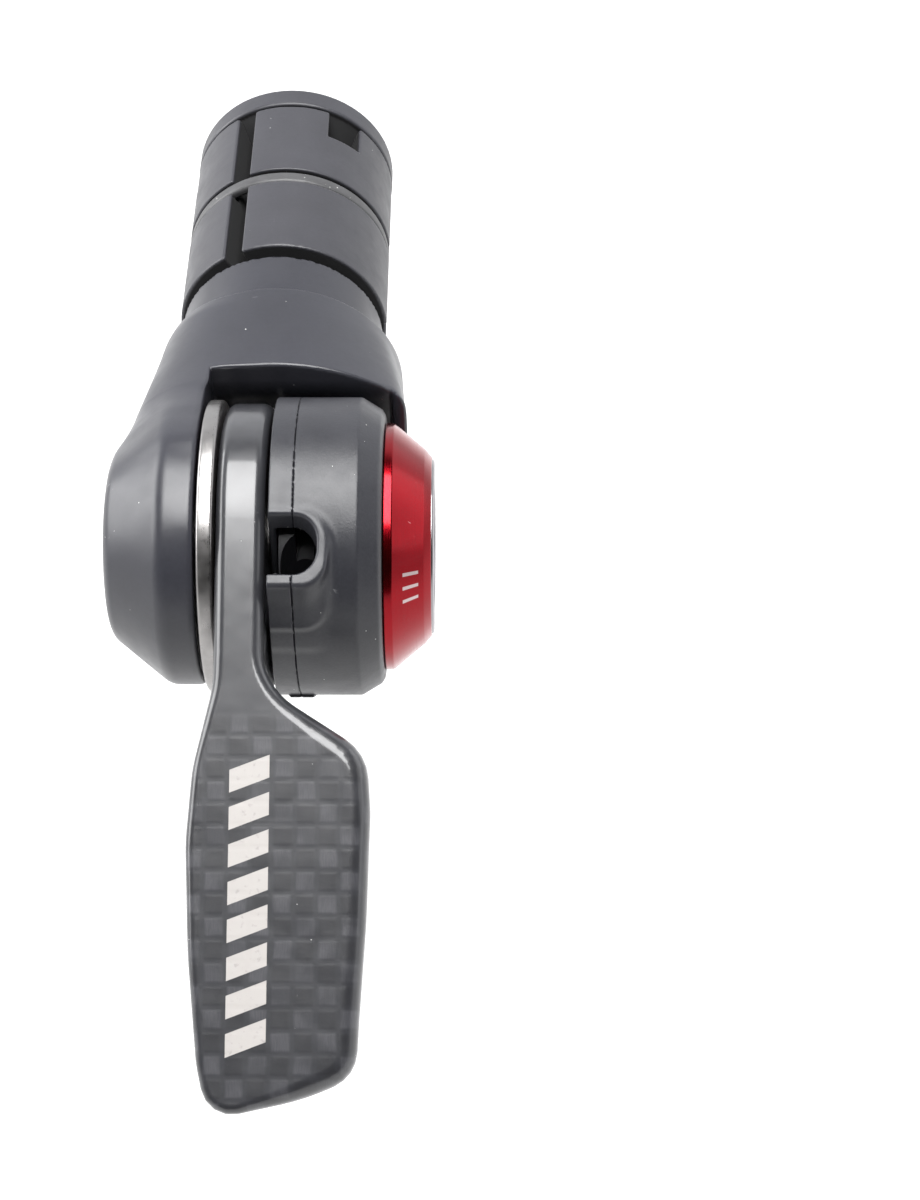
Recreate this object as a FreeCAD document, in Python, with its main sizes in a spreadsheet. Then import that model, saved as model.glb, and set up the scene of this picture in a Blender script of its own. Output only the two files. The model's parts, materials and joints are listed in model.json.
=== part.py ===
# Bar-end shifter for an aero bar: it plugs into the open end of the bar, and a lever on a cross
# axis in front of it winds the gear cable. This is the left-hand one of a mirrored pair.
# Millimetres. The origin is the centre of the shoulder that meets the bar's end, +Y runs into
# the bar, +X runs along the lever's pivot towards the red cap, and +Z is up.
import FreeCAD, Part
import math
import os

import Sketcher

Vector = FreeCAD.Vector

# Every alias holds an underscore, so that bound() can tell aliases from function names.
DIMENSIONS = {
    "pivot_y": -22.81,          # lever axis, in front of the shoulder
    "running_gap": 0.05,        # radial clearance of a shaft that turns in its hole
    # collar and neck of the housing
    "collar_width": 22.8,           # at the shoulder, an ellipse
    "collar_height": 21.94,
    "collar_front_width": 23.5,     # at the front, two arcs between straight sides
    "collar_arc_radius": 18.8,
    "collar_arc_drop": 7.6,
    "collar_front_y": -11.2,
    "neck_radius": 9.62,
    "neck_length": 6.3,
    "front_cone_radius": 8.9,
    "front_cone_end": 10.3,
    "pocket_radius": 14.0,
    "pocket_side_x": -5.0,
    "pocket_right_x": 11.05,
    "cap_room_radius": 11.4,
    # ear of the housing
    "ear_radius": 12.3,
    "ear_end_x": -13.5,
    "spring_recess_radius": 9.2,
    "spring_recess_x": -10.9,
    "insert_radius": 3.6,
    "insert_end_x": -12.8,
    # pivot stack along X
    "pivot_radius": 2.97,
    "plate_radius": 12.92,
    "plate_left_x": -4.9,
    "plate_right_x": -3.5,
    "hub_radius": 12.6,
    "hub_left_x": -3.3,
    "hub_right_x": 0.84,
    "hub_bore": 6.5,
    "sleeve_radius": 4.6,
    "sleeve_left_x": -9.6,
    "sleeve_right_x": 9.6,
    # spool cover
    "cover_radius": 13.16,
    "cover_wall": 1.36,
    "cover_left_x": 1.18,
    "cover_plate": 0.6,
    "cover_seam_x": 3.24,
    "cover_seam_gap": 0.04,
    "cover_chamfer_x": 8.6,
    "cover_right_x": 10.62,
    "cover_end_radius": 11.95,
    "cover_end_plate": 0.92,
    "port_right_x": 5.28,
    "port_lip": 0.9,
    # cap
    "cap_left_x": 10.66,
    "cap_right_x": 14.73,
    "cap_radius": 10.93,
    "cap_end_radius": 8.1,
    "cap_disc_radius": 7.7,
    "cap_disc_right_x": 14.95,
    "bolt_head_radius": 5.0,
    # spool, ratchet and pawls
    "spool_left_x": 1.9,
    "spool_right_x": 6.2,
    "spool_radius": 10.6,
    "groove_radius": 8.4,
    "groove_width": 1.5,
    "groove_x": 4.05,
    "ratchet_left_x": 6.24,
    "ratchet_right_x": 7.84,
    "ratchet_radius": 8.2,
    "tooth_depth": 1.0,
    "tooth_count": 16,
    "carrier_left_x": 8.1,
    "carrier_right_x": 9.3,
    "pawl_orbit": 10.3,
    "pawl_hub_radius": 1.2,
    "pawl_pin_radius": 0.6,
    # expander
    "plug_radius": 9.99,
    "segment_front_y": 7.5,
    "segment_rear_y": 30.22,
    "segment_bore": 6.4,
    "segment_angle": 109.3,
    "cone_gap": 0.28,
    "ring_slot_front_y": 17.7,
    "ring_slot_rear_y": 19.65,
    "ring_slot_radius": 8.65,
    "ring_wire": 0.55,
    "window_width": 3.5,
    "window_front_y": 26.3,
    "wedge_boss_radius": 6.0,
    "wedge_front_y": 21.5,
    "flange_front_y": 30.6,
    "flange_rear_y": 32.9,
    "nut_radius": 3.6,
    "nut_rear_y": 27.1,
    "screw_radius": 2.5,
    "screw_end_y": 27.9,
    "screw_head_radius": 4.25,
    "screw_head_front_y": -9.2,
    "screw_head_rear_y": -4.2,
    "washer_rear_y": -3.25,
    "cable_hole": 0.9,
    "cable_wedge_x": 3.0,
    "cable_wedge_z": -3.62,
    "ferrule_radius": 2.55,
    "ferrule_depth": 3.4,
}
PAWL_ANGLES = {"drive": 22.4, "hold": 247.4}    # degrees about +X, from +Y towards +Z
PAWL_REACH = 4.0                                # pin centre to tip
PAWL_REST_RADIUS = 8.65                         # tip radius with the pawl lifted
SEGMENT_MIDDLES = (56.5, 176.5, 296.5)          # degrees about Y, from +X towards +Z

doc = FreeCAD.newDocument("bar_end_shifter")
sheet = doc.addObject("Spreadsheet::Sheet", "Dimensions")
subparts = []


# ---------------------------------------------------------------- shared helpers

def fill_sheet():
    for row, (alias, value) in enumerate(DIMENSIONS.items(), start=1):
        sheet.set(f"A{row}", alias)
        sheet.set(f"B{row}", str(value))
        sheet.setAlias(f"B{row}", alias)
    doc.recompute()


def size(alias):
    return float(sheet.get(alias))


def bound(expression):
    """Puts the sheet's name before each alias of an expression."""
    words = expression.split(" ")
    return " ".join(f"Dimensions.{word}" if "_" in word else word for word in words)


def bind(thing, **properties):
    """Binds properties to expressions; x, y and z stand for the placement's position."""
    for name, expression in properties.items():
        path = f"Placement.Base.{name}" if name in ("x", "y", "z") else name
        thing.setExpression(path, bound(str(expression)))


def finish(thing, label):
    """Names a sub-part, which also names its file."""
    thing.Label = label
    subparts.append(thing)
    return thing


def polar(radius, degrees, x=0.0):
    """A point of a circle about the pivot axis, in the pivot's own frame."""
    angle = math.radians(degrees)
    return Vector(x, radius * math.cos(angle), radius * math.sin(angle))


def rod_x(name, left, right, radius, y="0", z="0"):
    """A cylinder along X whose y and z count from the pivot axis."""
    rod = doc.addObject("Part::Cylinder", name)
    rod.Placement.Rotation = FreeCAD.Rotation(Vector(0, 1, 0), 90)
    bind(rod, Radius=radius, Height=f"( {right} ) - ( {left} )", x=left, y=f"pivot_y + {y}", z=z)
    return rod


def rod_y(name, front, rear, radius, x="0", z="0"):
    rod = doc.addObject("Part::Cylinder", name)
    rod.Placement.Rotation = FreeCAD.Rotation(Vector(1, 0, 0), -90)
    bind(rod, Radius=radius, Height=f"( {rear} ) - ( {front} )", x=x, y=front, z=z)
    return rod


def tube_x(label, left, right, outer, bore):
    return cut(label, rod_x(f"{label}_outside", left, right, outer),
               rod_x(f"{label}_bore", left, right, bore))


def cut(name, base, *tools):
    result = base
    for count, tool in enumerate(tools, start=1):
        step = doc.addObject("Part::Cut", f"{name}_cut{count}")
        step.Base = result
        step.Tool = tool
        result = step
    return result


def fuse(name, *shapes):
    result = doc.addObject("Part::MultiFuse", f"{name}_fused")
    result.Shapes = list(shapes)
    return result


def draw_polygon(sketch, corners):
    """Draws a closed outline and binds both coordinates of every corner."""
    points = []
    for across, up in corners:
        values = [float(sheet.evalExpression(bound(text))) for text in (across, up)]
        points.append(Vector(values[0], values[1], 0))
    for index, point in enumerate(points):
        sketch.addGeometry(Part.LineSegment(point, points[(index + 1) % len(points)]))
    for index in range(len(points)):
        following = (index + 1) % len(points)
        sketch.addConstraint(Sketcher.Constraint("Coincident", index, 2, following, 1))
    for index, texts in enumerate(corners):
        for kind, text, place in zip(("DistanceX", "DistanceY"), texts, points[index]):
            number = sketch.addConstraint(Sketcher.Constraint(kind, -1, 1, index, 1, place))
            sketch.setExpression(f"Constraints[{number}]", bound(text))


def new_sketch(body, name, role="XY_Plane"):
    sketch = body.newObject("Sketcher::SketchObject", name)
    plane = next(item for item in body.Origin.OriginFeatures if item.Role == role)
    sketch.AttachmentSupport = [(plane, "")]
    sketch.MapMode = "FlatFace"
    return sketch


def turned(name, profile, about="X", angle=None):
    """A turned body. The profile's corners are (place along the axis, radius)."""
    body = doc.addObject("PartDesign::Body", name)
    sketch = new_sketch(body, f"{name}_profile")
    corners = profile if about == "X" else [(radius, along) for along, radius in profile]
    draw_polygon(sketch, corners)
    spin = body.newObject("PartDesign::Revolution", f"{name}_turned")
    spin.Profile = sketch
    spin.ReferenceAxis = (sketch, ["H_Axis" if about == "X" else "V_Axis"])
    spin.Angle = 360
    if angle:
        bind(spin, Angle=angle)
    body.Tip = spin
    if about == "X":
        bind(body, y="pivot_y")
    return body


def rounded_outline(corners, at):
    """A closed wire with an arc at each corner. A corner is (across, up, arc radius), and
    at() turns across and up into a point in space."""
    edges = []
    ends = []
    count = len(corners)
    for index, (across, up, radius) in enumerate(corners):
        here = Vector(across, up, 0)
        before = Vector(*corners[index - 1][:2], 0)
        after = Vector(*corners[(index + 1) % count][:2], 0)
        back = (before - here).normalize()
        ahead = (after - here).normalize()
        half = back.getAngle(ahead) / 2
        reach = radius / math.tan(half)
        middle = here + (back + ahead).normalize() * (radius / math.sin(half) - radius)
        ends.append([here + back * reach, middle, here + ahead * reach])
    for index, (start, middle, end) in enumerate(ends):
        following = ends[(index + 1) % count][0]
        if corners[index][2] > 0:
            edges.append(Part.Arc(at(start), at(middle), at(end)).toShape())
        if (following - end).Length > 1e-6:
            edges.append(Part.makeLine(at(end), at(following)))
    return Part.Wire(edges)


def shape_feature(name, shape):
    feature = doc.addObject("Part::Feature", name)
    feature.Shape = shape
    return feature


# ---------------------------------------------------------------- housing

def collar_section(y):
    """A ring of the collar. It is an ellipse at the shoulder and turns, towards the front, into
    two shallow arcs between straight sides."""
    forward = y / size("collar_front_y")
    drop = size("collar_arc_drop")
    points = []
    for step in range(40):
        angle = 2 * math.pi * step / 40
        side = abs(math.cos(angle)) + 1e-6
        up = abs(math.sin(angle))
        shoulder = 1 / math.hypot(side * 2 / size("collar_width"), up * 2 / size("collar_height"))
        arc = math.sqrt(size("collar_arc_radius") ** 2 - (drop * side) ** 2) - drop * up
        wall = size("collar_front_width") / 2 / side
        front = (arc ** -24 + wall ** -24) ** (-1 / 24)
        radius = shoulder + forward * (front - shoulder)
        middle = 0.25 + 0.4 * forward
        points.append(Vector(middle + radius * math.cos(angle), y, radius * math.sin(angle)))
    curve = Part.BSplineCurve()
    curve.interpolate(points, PeriodicFlag=True)
    return Part.Wire(curve.toShape())


def arm_section(y, reach, height, power):
    """A D-shaped ring of the arm, flat on the side that faces the lever."""
    inner = size("pocket_side_x")
    points = []
    for step in range(17):
        angle = math.pi * (step / 16 - 0.5)
        out = abs(math.cos(angle)) ** (2 / power) * reach
        up = abs(math.sin(angle)) ** (2 / power) * math.copysign(height, math.sin(angle))
        points.append(Vector(inner - out, y, up))
    curve = Part.BSplineCurve()
    curve.interpolate(points)
    flat = Part.makeLine(points[-1], points[0])
    return Part.Wire([curve.toShape(), flat])


def make_housing():
    pivot = Vector(0, size("pivot_y"), 0)
    collar_places = [0, 0.25, 0.5, 0.75, 1]
    collar = Part.makeLoft([collar_section(place * size("collar_front_y"))
                            for place in collar_places], True, False)
    neck = Part.makeCylinder(size("neck_radius"), size("neck_length"), Vector(), Vector(0, 1, 0))
    cone_length = size("front_cone_end") - size("neck_length")
    cone = Part.makeCone(size("front_cone_radius"), size("front_cone_radius") - cone_length,
                         cone_length, Vector(0, size("neck_length"), 0), Vector(0, 1, 0))
    reach = size("pocket_side_x") - size("ear_end_x")
    arm = Part.makeLoft([
        arm_section(-0.6, 5.4, 9.1, 2.0),
        arm_section(-5.0, 6.2, 9.5, 2.0),
        arm_section(-10.0, 7.4, 10.1, 2.0),
        arm_section(-15.0, 8.2, 10.8, 2.0),
        arm_section(pivot.y, reach - 0.5, 11.6, 2.0),
    ], True, False)
    ear_face = Part.Face(rounded_outline([
        (size("pocket_side_x"), 0, 0),
        (size("pocket_side_x"), size("ear_radius"), 0),
        (-8.2, size("ear_radius") - 0.05, 2.5),
        (size("ear_end_x"), 7.8, 1.8),
        (size("ear_end_x"), 0, 0),
    ], lambda point: pivot + Vector(point.x, point.y, 0)))
    ear = ear_face.revolve(pivot, Vector(1, 0, 0), 360)
    body = collar.fuse([neck, cone, arm, ear])

    axis_x = Vector(1, 0, 0)
    axis_y = Vector(0, 1, 0)
    side = size("pocket_side_x")
    recess_x = size("spring_recess_x")
    insert_x = size("insert_end_x")

    def hole(radius, length, start, along):
        return Part.makeCylinder(radius, length, start, along)

    head_front = Vector(0, size("washer_rear_y") - 12, 0)
    cuts = [
        hole(size("pocket_radius"), size("pocket_right_x") - side, pivot + axis_x * side, axis_x),
        hole(size("cap_room_radius"), 24, pivot + axis_x * side, axis_x),
        hole(size("spring_recess_radius"), side - recess_x, pivot + axis_x * recess_x, axis_x),
        hole(size("insert_radius"), recess_x - insert_x, pivot + axis_x * insert_x, axis_x),
        hole(size("screw_head_radius") + 0.35, 12, head_front, axis_y),
        hole(size("screw_radius") + 0.15, 20, Vector(0, -8, 0), axis_y),
        dowel_shape(0.03, 0.1),
        cable_passage(),
    ]
    return shape_feature("housing_shape", body.cut(cuts).removeSplitter())


def dowel_shape(extra_radius=0.0, extra_length=0.0):
    """The dowel that keeps the cover from turning in the housing's pocket."""
    return Part.makeCylinder(1.0 + extra_radius, 5.9 + extra_length,
                             Vector(7.5, -11.9, -5.0), Vector(0, 1, 0))


def cable_passage():
    """The cable's straight way from the spool's lower side to the middle of the neck."""
    start = Vector(size("groove_x"), -14.5, -size("groove_radius") - 0.6)
    end = Vector(size("cable_wedge_x") - 0.2, size("front_cone_end") + 0.5, size("cable_wedge_z"))
    return Part.makeCylinder(size("cable_hole"), (end - start).Length, start, end - start)


def housing_parts():
    finish(make_housing(), "housing")
    finish(tube_x("threaded_insert", "insert_end_x + 0.1", "spring_recess_x",
                  "insert_radius - 0.02", "pivot_radius + 0.02"), "threaded_insert")
    finish(tube_x("thrust_plate", "plate_left_x", "plate_right_x",
                  "plate_radius", "sleeve_radius + 0.4"), "thrust_plate")
    finish(shape_feature("dowel_shape", dowel_shape()), "cover_dowel")


def pivot_parts():
    bolt = turned("pivot_bolt_body", [
        ("insert_end_x + 0.3", "0"),
        ("insert_end_x + 0.3", "pivot_radius - 0.4"),
        ("insert_end_x + 0.7", "pivot_radius"),
        ("12.35", "pivot_radius"),
        ("12.35", "bolt_head_radius"),
        ("14.35", "bolt_head_radius"),
        ("14.6", "bolt_head_radius - 0.25"),
        ("14.6", "0"),
    ])
    socket = doc.addObject("Part::Prism", "pivot_socket")
    socket.Polygon = 6
    socket.Circumradius = 2.9
    socket.Height = 4
    socket.Placement.Rotation = FreeCAD.Rotation(Vector(0, 1, 0), 90)
    bind(socket, x="12.6", y="pivot_y")
    finish(cut("pivot_bolt", bolt, socket), "pivot_bolt")
    cap = turned("red_cap", [
        ("cap_left_x", "pivot_radius + 0.2"),
        ("cap_left_x", "cap_radius - 0.15"),
        ("cap_left_x + 0.15", "cap_radius"),
        ("cap_left_x + 0.75", "cap_radius - 0.1"),
        ("cap_right_x - 0.25", "cap_end_radius + 0.15"),
        ("cap_right_x", "cap_end_radius - 0.15"),
        ("cap_right_x", "cap_disc_radius + 0.05"),
        ("13.6", "cap_disc_radius + 0.05"),
        ("13.6", "bolt_head_radius + 0.2"),
        ("12.3", "bolt_head_radius + 0.2"),
        ("12.3", "pivot_radius + 0.2"),
    ])
    finish(cap, "red_cap")
    disc = turned("cap_disc", [
        ("13.65", "bolt_head_radius + 0.3"),
        ("13.65", "cap_disc_radius"),
        ("cap_disc_right_x - 0.2", "cap_disc_radius"),
        ("cap_disc_right_x", "cap_disc_radius - 0.2"),
        ("cap_disc_right_x", "bolt_head_radius + 0.5"),
        ("cap_disc_right_x - 0.2", "bolt_head_radius + 0.3"),
    ])
    finish(disc, "cap_disc")


# ---------------------------------------------------------------- lever

BLADE_START = Vector(0, -19.2, 2.2)     # on the blade's upper face, from the pivot
BLADE_SLOPE = 35.1                      # degrees that the blade droops
BLADE_LENGTH = 34.2
BLADE_TIP_THICKNESS = 2.0
BLADE_ROOT_THICKNESS = 3.0


def blade_frame():
    """The blade's own directions: down its length, and out of its upper face."""
    droop = math.radians(BLADE_SLOPE)
    along = Vector(0, -math.cos(droop), -math.sin(droop))
    upwards = Vector(0, -math.sin(droop), math.cos(droop))
    return along, upwards


def lever_side_point(along_distance, depth):
    """A point of the lever's side view, from a place on the blade's upper line."""
    along, upwards = blade_frame()
    point = BLADE_START + along * along_distance - upwards * depth
    return point.y, point.z


def lever_prism(corners, left, right):
    """Extrudes a side view, given from the pivot, between two places along X."""
    pivot_y = size("pivot_y")
    wire = rounded_outline(corners, lambda point: Vector(left, pivot_y + point.x, point.y))
    return Part.Face(wire).extrude(Vector(right - left, 0, 0))


def make_lever():
    left = size("hub_left_x")
    right = size("hub_right_x")
    pivot = Vector(0, size("pivot_y"), 0)
    hub = Part.makeCylinder(size("hub_radius"), right - left,
                            pivot + Vector(left, 0, 0), Vector(1, 0, 0))
    stem = lever_prism([
        (-1.0, 11.5, 0),
        (-2.0, 12.45, 0),
        (-5.4, 12.0, 9.0),
        (*lever_side_point(3.0, 0), 0),
        (*lever_side_point(3.0, BLADE_ROOT_THICKNESS), 0),
        (*lever_side_point(-2.5, BLADE_ROOT_THICKNESS + 0.2), 5.0),
        (-9.5, -8.0, 0),
    ], left, right)
    slab = lever_prism([
        (*lever_side_point(-4.0, 0), 0),
        (*lever_side_point(BLADE_LENGTH + 2, 0), 0),
        (*lever_side_point(BLADE_LENGTH + 2, BLADE_TIP_THICKNESS), 0),
        (*lever_side_point(-4.0, BLADE_ROOT_THICKNESS), 0),
    ], -8.0, 12.0)
    along, upwards = blade_frame()
    start = pivot + BLADE_START - upwards * 6
    outline = rounded_outline([
        (left, -3.5, 0),
        (left, 0.0, 6.0),
        (-5.3, 10.5, 12.0),
        (-5.1, 19.0, 30.0),
        (-3.2, 34.7, 2.2),
        (8.9, 31.6, 2.6),
        (9.7, 14.0, 12.0),
        (9.75, 5.1, 3.0),
        (3.9, 1.8, 4.0),
        (right, -0.9, 2.5),
        (right, -3.5, 0),
    ], lambda point: start + Vector(point.x, 0, 0) + along * point.y)
    blade = slab.common(Part.Face(outline).extrude(upwards * 12))
    bore = Part.makeCylinder(size("hub_bore"), 20, pivot + Vector(-10, 0, 0), Vector(1, 0, 0))
    lever = hub.fuse([stem, blade]).cut(bore).removeSplitter()
    return shape_feature("lever_shape", lever)


def lever_parts():
    finish(make_lever(), "lever")
    sleeve = turned("lever_sleeve", [
        ("sleeve_left_x", "pivot_radius + running_gap"),
        ("sleeve_left_x", "sleeve_radius"),
        ("hub_left_x + 0.05", "sleeve_radius"),
        ("hub_left_x + 0.05", "hub_bore - 0.02"),
        ("hub_right_x - 0.05", "hub_bore - 0.02"),
        ("hub_right_x - 0.05", "sleeve_radius"),
        ("sleeve_right_x", "sleeve_radius"),
        ("sleeve_right_x", "pivot_radius + running_gap"),
    ])
    finish(sleeve, "lever_sleeve")
    finish(tube_x("retaining_clip", "carrier_right_x + 0.04", "sleeve_right_x",
                  "sleeve_radius + 1.2", "sleeve_radius + 0.02"), "retaining_clip")


def return_spring():
    """Three turns of round wire in the ear, with an end that hooks the sleeve and one the ear."""
    wire_radius = 0.6
    coil_radius = 6.9
    pitch = 1.35
    turns = 3
    start_x = size("spring_recess_x") + 1.1
    pivot = Vector(0, size("pivot_y"), 0)
    helix = Part.makeHelix(pitch, pitch * turns, coil_radius)
    section = Part.Wire(Part.makeCircle(wire_radius, Vector(coil_radius, 0, 0), Vector(0, 1, 0)))
    coil = Part.Wire(helix).makePipeShell([section], True, True)
    inner_leg = Part.makeCylinder(wire_radius, coil_radius - size("sleeve_radius") - 0.1,
                                  Vector(size("sleeve_radius") + 0.1, 0, 0), Vector(1, 0, 0))
    outer_leg = Part.makeCylinder(wire_radius, size("spring_recess_radius") - 0.1 - coil_radius,
                                  Vector(coil_radius, 0, pitch * turns), Vector(1, 0, 0))
    spring = coil.fuse([inner_leg, outer_leg])
    spring.rotate(Vector(), Vector(0, 1, 0), 90)
    spring.translate(pivot + Vector(start_x, 0, 0))
    return shape_feature("return_spring_shape", spring)


# ---------------------------------------------------------------- spool cover

def port_prism(right, front, rear, radius, bottom, top):
    """An upright block, rounded at its front and rear right corners."""
    left = size("cover_left_x") - 0.5
    pivot_y = size("pivot_y")
    wire = rounded_outline([
        (left, pivot_y + front, 0),
        (right, pivot_y + front, radius),
        (right, pivot_y + rear, radius),
        (left, pivot_y + rear, 0),
    ], lambda point: Vector(point.x, point.y, bottom))
    return Part.Face(wire).extrude(Vector(0, 0, top - bottom))


def port_boss():
    """The raised surround of the cable port, with a sloping rim that faces forwards and up."""
    lip = size("port_lip")
    block = port_prism(size("port_right_x") + lip, -12.95, -5.0, 2.6, 1.0, 14.0)
    rim_top = Vector(-2, size("pivot_y") - 7.3, 10.95)
    rim_slope = 26.8
    above = Part.makeBox(12, 14, 12)
    above.rotate(Vector(), Vector(1, 0, 0), rim_slope)
    above.translate(rim_top + Vector(0, -10 * math.cos(math.radians(rim_slope)),
                                     -10 * math.sin(math.radians(rim_slope))))
    return block.cut(above)


def cover_shell(name, profile, left, right):
    """A turned shell with its share of the port's boss, the port and the cable's way out."""
    shell = turned(f"{name}_turned_body", profile)
    doc.recompute()
    pivot = Vector(0, size("pivot_y"), 0)
    slab = Part.makeCylinder(20, right - left, pivot + Vector(left, 0, 0), Vector(1, 0, 0))
    inside_radius = size("cover_radius") - size("cover_wall")
    inside = Part.makeCylinder(inside_radius, 40, pivot + Vector(-20, 0, 0), Vector(1, 0, 0))
    boss = port_boss().common(slab).cut(inside)
    port = port_prism(size("port_right_x"), -11.9, -7.4, 2.0, 4.0, 16.0)
    cable_exit = Part.makeCylinder(size("cable_hole") + 0.1, 12,
                                   Vector(size("groove_x"), size("pivot_y") + 6, -size("groove_radius") - 0.6),
                                   Vector(0, 1, 0))
    shape = shell.Shape.fuse(boss).cut([port, cable_exit, dowel_shape(0.03, 0.0)]).removeSplitter()
    return finish(shape_feature(f"{name}_shape", shape), name)


def cover_parts():
    cover_shell("spool_cover_inner", [
        ("cover_left_x", "sleeve_radius + 0.5"),
        ("cover_left_x", "cover_radius - 0.3"),
        ("cover_left_x + 0.3", "cover_radius"),
        ("cover_seam_x - cover_seam_gap / 2", "cover_radius"),
        ("cover_seam_x - cover_seam_gap / 2", "cover_radius - cover_wall"),
        ("cover_left_x + cover_plate", "cover_radius - cover_wall"),
        ("cover_left_x + cover_plate", "sleeve_radius + 0.5"),
    ], size("cover_left_x"), size("cover_seam_x") - size("cover_seam_gap") / 2)
    cover_shell("spool_cover_outer", [
        ("cover_seam_x + cover_seam_gap / 2", "cover_radius - cover_wall"),
        ("cover_seam_x + cover_seam_gap / 2", "cover_radius"),
        ("cover_chamfer_x", "cover_radius"),
        ("cover_right_x - 0.3", "cover_end_radius + 0.2"),
        ("cover_right_x", "cover_end_radius - 0.2"),
        ("cover_right_x", "pivot_radius + 0.1"),
        ("cover_right_x - cover_end_plate", "pivot_radius + 0.1"),
        ("cover_right_x - cover_end_plate", "cover_radius - cover_wall - 0.2"),
        ("cover_right_x - cover_end_plate - 0.2", "cover_radius - cover_wall"),
    ], size("cover_seam_x") + size("cover_seam_gap") / 2, size("cover_right_x"))


# ---------------------------------------------------------------- spool, ratchet and pawls

def spool_parts():
    spool = turned("cable_spool_body", [
        ("spool_left_x", "sleeve_radius + running_gap"),
        ("spool_left_x", "spool_radius"),
        ("groove_x - groove_width / 2", "spool_radius"),
        ("groove_x - groove_width / 2", "groove_radius"),
        ("groove_x + groove_width / 2", "groove_radius"),
        ("groove_x + groove_width / 2", "spool_radius"),
        ("spool_right_x", "spool_radius"),
        ("spool_right_x", "sleeve_radius + running_gap"),
    ])
    head_seat = doc.addObject("Part::Cylinder", "cable_head_seat")
    head_seat.Radius = 2.02
    head_seat.Height = 12
    bind(head_seat, x="groove_x", y="pivot_y - 8.7", z="0.5")
    finish(cut("cable_spool", spool, head_seat), "cable_spool")
    finish(ratchet_wheel(), "ratchet_wheel")
    finish(pawl_carrier(), "pawl_carrier")


def ratchet_wheel():
    """A disc with saw teeth, padded on the plane across the pivot."""
    body = doc.addObject("PartDesign::Body", "ratchet_wheel")
    bind(body, x="ratchet_left_x", y="pivot_y")
    disc = new_sketch(body, "ratchet_disc", "YZ_Plane")
    for radius in ("ratchet_radius", "sleeve_radius + running_gap"):
        value = float(sheet.evalExpression(bound(radius)))
        circle = disc.addGeometry(Part.Circle(Vector(), Vector(0, 0, 1), value))
        disc.addConstraint(Sketcher.Constraint("Coincident", circle, 3, -1, 1))
        number = disc.addConstraint(Sketcher.Constraint("Radius", circle, value))
        disc.setExpression(f"Constraints[{number}]", bound(radius))
    pad = body.newObject("PartDesign::Pad", "ratchet_pad")
    pad.Profile = disc
    bind(pad, Length="ratchet_right_x - ratchet_left_x")
    doc.recompute()
    plain_volume = body.Shape.Volume
    gap = new_sketch(body, "ratchet_gap", "YZ_Plane")
    pitch = "360 / tooth_count * 0.72"
    draw_polygon(gap, [
        ("ratchet_radius - tooth_depth", "0"),
        ("ratchet_radius + 0.6", "0"),
        (f"( ratchet_radius + 0.6 ) * cos( {pitch} )", f"-1 * ( ratchet_radius + 0.6 ) * sin( {pitch} )"),
        (f"( ratchet_radius - 0.1 ) * cos( {pitch} )", f"-1 * ( ratchet_radius - 0.1 ) * sin( {pitch} )"),
    ])
    pocket = body.newObject("PartDesign::Pocket", "ratchet_pocket")
    pocket.Profile = gap
    pocket.Reversed = True
    bind(pocket, Length="ratchet_right_x - ratchet_left_x")
    doc.recompute()
    teeth = body.newObject("PartDesign::PolarPattern", "ratchet_teeth")
    teeth.Originals = [pocket]
    teeth.Axis = (disc, ["N_Axis"])
    teeth.Angle = 360
    bind(teeth, Occurrences="tooth_count")
    body.Tip = teeth
    doc.recompute()
    if body.Shape.Volume > plain_volume * 0.97:
        raise RuntimeError("the ratchet's tooth gaps cut nothing")
    return body


def pawl_carrier():
    """A ring on the sleeve with an arm that carries the drive pawl's pin."""
    angle = PAWL_ANGLES["drive"]
    ring = rod_x("carrier_ring", "carrier_left_x", "carrier_right_x", "sleeve_radius + 2.0")
    boss = rod_x("carrier_boss", "carrier_left_x", "carrier_right_x", "pawl_hub_radius",
                 y=f"pawl_orbit * cos( {angle} )", z=f"pawl_orbit * sin( {angle} )")
    arm = doc.addObject("Part::Box", "carrier_arm")
    bind(arm, Length="carrier_right_x - carrier_left_x", Width="pawl_orbit", Height="2 * pawl_hub_radius")
    half = size("pawl_hub_radius")
    turn = FreeCAD.Rotation(Vector(1, 0, 0), angle)
    corner = turn.multVec(Vector(size("carrier_left_x"), 0, -half))
    arm.Placement = FreeCAD.Placement(Vector(corner.x, size("pivot_y") + corner.y, corner.z), turn)
    bore = rod_x("carrier_bore", "carrier_left_x", "carrier_right_x", "sleeve_radius + 0.02")
    pin_hole = rod_x("carrier_pin_hole", "carrier_left_x", "carrier_right_x", "pawl_pin_radius + 0.01",
                     y=f"pawl_orbit * cos( {angle} )", z=f"pawl_orbit * sin( {angle} )")
    return cut("pawl_carrier", fuse("carrier", ring, boss, arm), bore, pin_hole)


def pawl_parts():
    pin_ends = {"drive": "carrier_right_x", "hold": "cover_right_x - cover_end_plate - 0.02"}
    for name, angle in PAWL_ANGLES.items():
        finish(shape_feature(f"{name}_pawl_shape", pawl_shape(angle)), f"{name}_pawl")
        pin = rod_x(f"{name}_pin", "ratchet_left_x", pin_ends[name], "pawl_pin_radius",
                    y=f"pawl_orbit * cos( {angle} )", z=f"pawl_orbit * sin( {angle} )")
        finish(pin, f"{name}_pawl_pin")
        finish(pawl_spring(name, angle), f"{name}_pawl_spring")


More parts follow.
